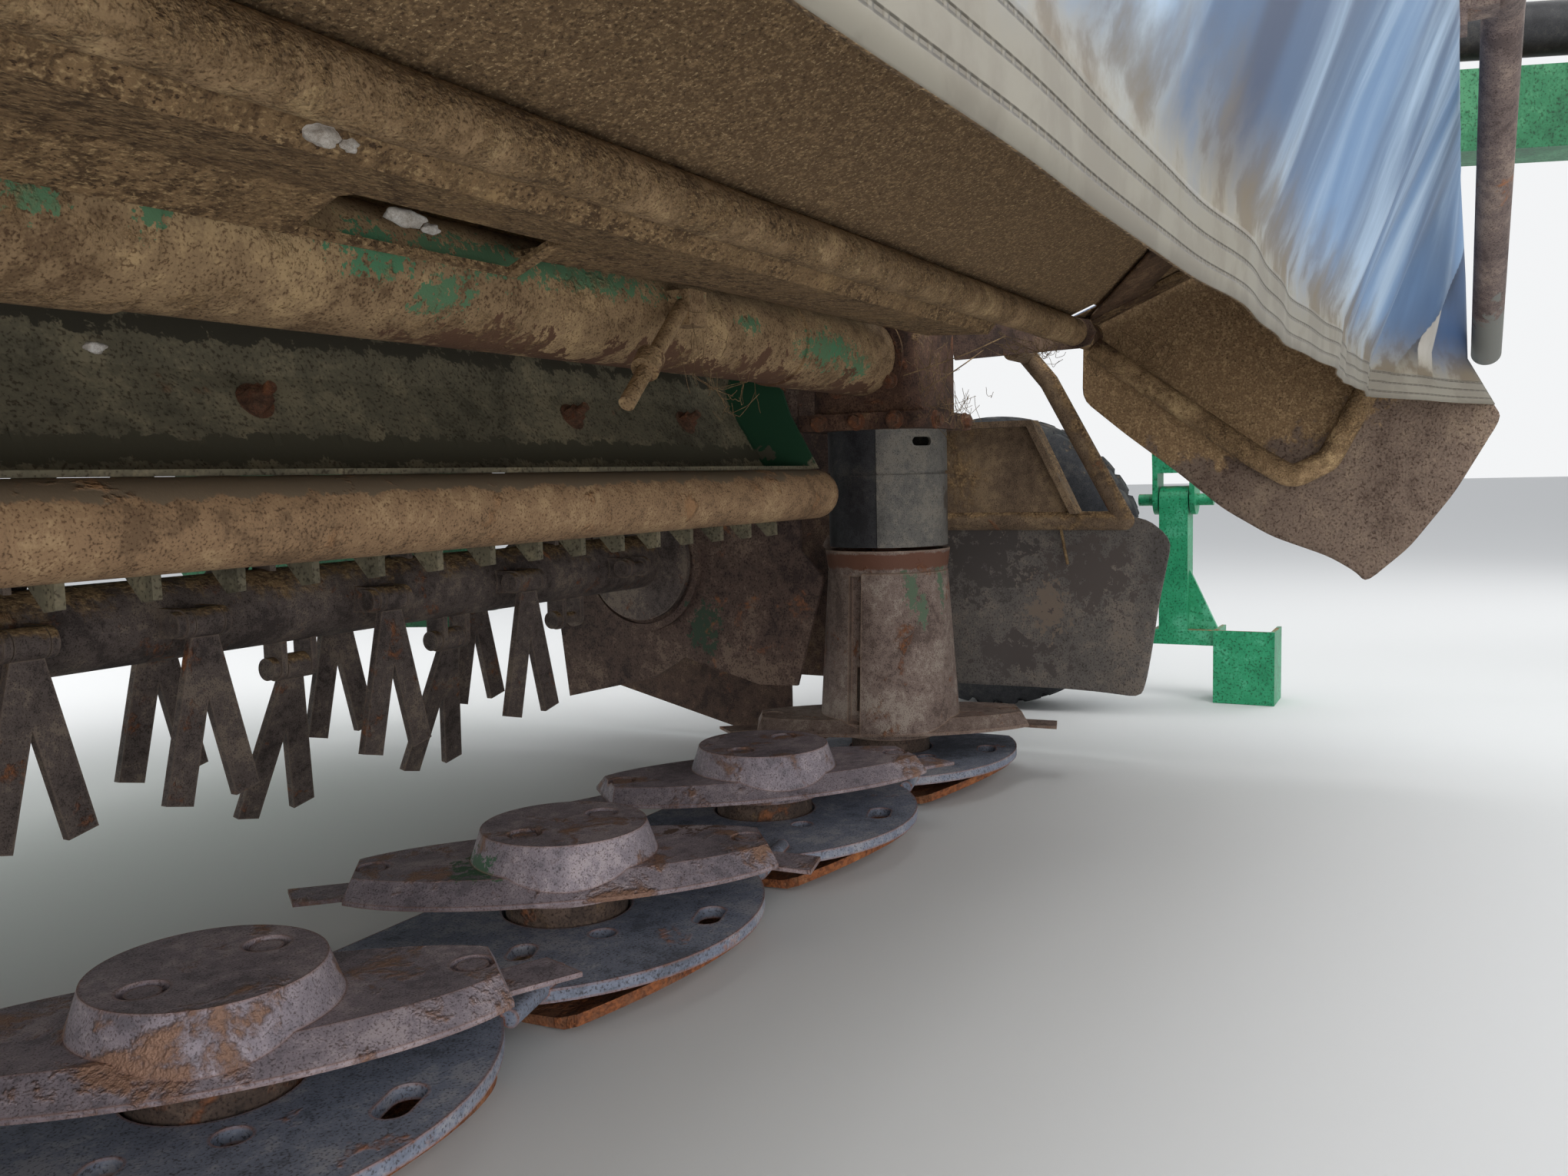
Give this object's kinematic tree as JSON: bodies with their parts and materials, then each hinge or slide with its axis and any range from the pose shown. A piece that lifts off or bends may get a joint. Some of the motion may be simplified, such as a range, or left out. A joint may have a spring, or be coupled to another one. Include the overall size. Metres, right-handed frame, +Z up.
{
  "type": "trailed disc mower conditioner",
  "caption": "Trailed disc mower with a tined crop conditioner, a hinged front guard with cloth curtains, lift wheels and a swinging drawbar on its parking stand.",
  "frame": {"origin": "bottom centre of the parked machine's box, on the ground", "axes": "+X to the machine's left-hand end, +Y to its rear, +Z up, -Y the way it travels"},
  "size_m": [4.844, 4.2991, 1.31],
  "materials": {
    "green_paint": "dusty satin paint",
    "teal_paint": "satin paint",
    "dusty_steel": "steel under dry dust",
    "rusty_steel": "orange brown rust",
    "disc_steel": "worn bluish steel with pinkish rust",
    "gear_iron": "rusty cast housing",
    "grey_plastic": "satin grey",
    "black_plastic": "ribbed black",
    "canvas": "dusty coated cloth",
    "curtain": "grey coated cloth, worn at the hem",
    "rubber": "thick dull sheet",
    "tyre": "worn tread",
    "rim_paint": "satin paint",
    "rod_chrome": "bright"
  },
  "bodies": {
    "header": {"cutterbar": "rusty_steel", "stone_guards": "rusty_steel", "skid_shoes": "rusty_steel", "main_beam": "dusty_steel", "crop_tube": "rusty_steel", "conditioner_hood": "green_paint", "side_walls": "green_paint", "end_plates": "green_paint", "header_crossbar": "green_paint", "deck_sheet": "dusty_steel", "gearbox": "gear_iron", "beam_bracket": "gear_iron", "shaft_cover": "grey_plastic", "transfer_shaft": "black_plastic", "flap_frames": "dusty_steel", "end_flaps": "rubber", "carrier_frame": "green_paint", "swivel_gearbox": "gear_iron", "belt_guard": "green_paint", "swath_hood": "green_paint"},
    "rotor": {"rotor": "dusty_steel"},
    "front_guard": {"guard_frame": "dusty_steel", "bumper": "dusty_steel", "top_canvas": "canvas", "front_curtain": "curtain", "side_curtains": "curtain"},
    "drawbar": {"drawbar": "green_paint", "stand_bracket": "teal_paint", "pto_guard": "black_plastic"},
    "stand": {"parking_stand": "teal_paint"},
    "swing_barrel": {"swing_barrel": "green_paint"},
    "swing_rod": {"swing_rod": "rod_chrome"},
    "hat_drum": {"hat_drum": "disc_steel"},
    "disc_2": {"disc_2": "disc_steel"},
    "disc_3": {"disc_3": "disc_steel"},
    "disc_4": {"disc_4": "disc_steel"},
    "disc_5": {"disc_5": "disc_steel"},
    "disc_6": {"disc_6": "disc_steel"},
    "driven_drum": {"driven_drum": "disc_steel"},
    "lift_arm_left": {"lift_arm_left": "green_paint"},
    "wheel_left": {"tyre_left": "tyre", "rim_left": "rim_paint"},
    "lift_barrel_left": {"lift_barrel_left": "green_paint"},
    "lift_rod_left": {"lift_rod_left": "rod_chrome"},
    "swath_door_left": {"swath_door_left": "green_paint"},
    "lift_arm_right": {"lift_arm_right": "green_paint"},
    "wheel_right": {"tyre_right": "tyre", "rim_right": "rim_paint"},
    "lift_barrel_right": {"lift_barrel_right": "green_paint"},
    "lift_rod_right": {"lift_rod_right": "rod_chrome"},
    "swath_door_right": {"swath_door_right": "green_paint"}
  },
  "joints": [
    {"name": "hat_drum_spin", "type": "hinge", "parent": "header", "child": "hat_drum", "pos_m": [-1.67197, 0.72762, 0.081], "axis": [0, 0, 1], "continuous": true},
    {"name": "disc_2_spin", "type": "hinge", "parent": "header", "child": "disc_2", "pos_m": [-1.27197, 0.72762, 0.081], "axis": [0, 0, 1], "continuous": true},
    {"name": "disc_3_spin", "type": "hinge", "parent": "header", "child": "disc_3", "pos_m": [-0.87197, 0.72762, 0.081], "axis": [0, 0, 1], "continuous": true},
    {"name": "disc_4_spin", "type": "hinge", "parent": "header", "child": "disc_4", "pos_m": [-0.47197, 0.72762, 0.081], "axis": [0, 0, 1], "continuous": true},
    {"name": "disc_5_spin", "type": "hinge", "parent": "header", "child": "disc_5", "pos_m": [-0.07197, 0.72762, 0.081], "axis": [0, 0, 1], "continuous": true},
    {"name": "disc_6_spin", "type": "hinge", "parent": "header", "child": "disc_6", "pos_m": [0.32803, 0.72762, 0.081], "axis": [0, 0, 1], "continuous": true},
    {"name": "driven_drum_spin", "type": "hinge", "parent": "header", "child": "driven_drum", "pos_m": [0.72803, 0.72762, 0.081], "axis": [0, 0, 1], "continuous": true},
    {"name": "rotor_spin", "type": "hinge", "parent": "header", "child": "rotor", "pos_m": [-0.47197, 1.14762, 0.332], "axis": [1, 0, 0], "continuous": true},
    {"name": "guard_fold", "type": "hinge", "parent": "header", "child": "front_guard", "pos_m": [-0.47197, 0.47762, 0.673], "axis": [-1, 0, 0], "range_deg": [0, 80]},
    {"name": "drawbar_swing", "type": "hinge", "parent": "header", "child": "drawbar", "pos_m": [1.16803, 1.13562, 1.006], "axis": [0, 0, 1], "range_deg": [-16, 12]},
    {"name": "stand_fold", "type": "hinge", "parent": "drawbar", "child": "stand", "pos_m": [1.57803, 0.46462, 0.401], "axis": [0, -1, 0], "range_deg": [0, 90]},
    {"name": "swing_barrel_turn", "type": "hinge", "parent": "header", "child": "swing_barrel", "pos_m": [0.70803, 1.16362, 1.062], "axis": [0, 0, 1], "range_deg": [-9.44, 7.2]},
    {"name": "swing_rod_slide", "type": "slide", "parent": "swing_barrel", "child": "swing_rod", "axis": [0.7059, -0.7083, 0], "range_m": [-0.09, 0.068]},
    {"name": "wheel_lift_left", "type": "hinge", "parent": "header", "child": "lift_arm_left", "pos_m": [1.22803, 1.28762, 0.62], "axis": [1, 0, 0], "range_deg": [-6, 26]},
    {"name": "wheel_spin_left", "type": "hinge", "parent": "lift_arm_left", "child": "wheel_left", "pos_m": [1.38803, 0.77462, 0.288], "axis": [1, 0, 0], "continuous": true},
    {"name": "lift_barrel_turn_left", "type": "hinge", "parent": "header", "child": "lift_barrel_left", "pos_m": [1.29003, 1.22762, 0.96], "axis": [1, 0, 0], "range_deg": [-3.25, 12.42]},
    {"name": "lift_rod_slide_left", "type": "slide", "parent": "lift_barrel_left", "child": "lift_rod_left", "axis": [0, -0.486, -0.874], "range_m": [-0.0225, 0.091]},
    {"name": "door_swing_left", "type": "hinge", "parent": "header", "child": "swath_door_left", "pos_m": [0.64603, 1.46262, 0.215], "axis": [0, 0, 1], "range_deg": [-12, 25]},
    {"name": "wheel_lift_right", "type": "hinge", "parent": "header", "child": "lift_arm_right", "pos_m": [-2.17197, 1.28762, 0.62], "axis": [1, 0, 0], "range_deg": [-6, 26]},
    {"name": "wheel_spin_right", "type": "hinge", "parent": "lift_arm_right", "child": "wheel_right", "pos_m": [-2.33197, 0.77462, 0.288], "axis": [1, 0, 0], "continuous": true},
    {"name": "lift_barrel_turn_right", "type": "hinge", "parent": "header", "child": "lift_barrel_right", "pos_m": [-2.23397, 1.22762, 0.96], "axis": [1, 0, 0], "range_deg": [-3.25, 12.42]},
    {"name": "lift_rod_slide_right", "type": "slide", "parent": "lift_barrel_right", "child": "lift_rod_right", "axis": [0, -0.486, -0.874], "range_m": [-0.0225, 0.091]},
    {"name": "door_swing_right", "type": "hinge", "parent": "header", "child": "swath_door_right", "pos_m": [-1.58997, 1.46262, 0.215], "axis": [0, 0, -1], "range_deg": [-12, 25]}
  ],
  "couplings": [
    {"joint": "hat_drum_spin", "follows": "driven_drum_spin", "ratio": 1},
    {"joint": "disc_2_spin", "follows": "driven_drum_spin", "ratio": -1},
    {"joint": "disc_3_spin", "follows": "driven_drum_spin", "ratio": 1},
    {"joint": "disc_4_spin", "follows": "driven_drum_spin", "ratio": -1},
    {"joint": "disc_5_spin", "follows": "driven_drum_spin", "ratio": 1},
    {"joint": "disc_6_spin", "follows": "driven_drum_spin", "ratio": -1},
    {"joint": "swing_barrel_turn", "follows": "drawbar_swing", "ratio": 0.55869},
    {"joint": "swing_rod_slide", "follows": "drawbar_swing", "m_per_rad": 0.31513},
    {"joint": "lift_barrel_turn_left", "follows": "wheel_lift_left", "ratio": 0.45852},
    {"joint": "lift_rod_slide_left", "follows": "wheel_lift_left", "m_per_rad": 0.19607},
    {"joint": "lift_barrel_turn_right", "follows": "wheel_lift_right", "ratio": 0.45852},
    {"joint": "lift_rod_slide_right", "follows": "wheel_lift_right", "m_per_rad": 0.19607}
  ]
}
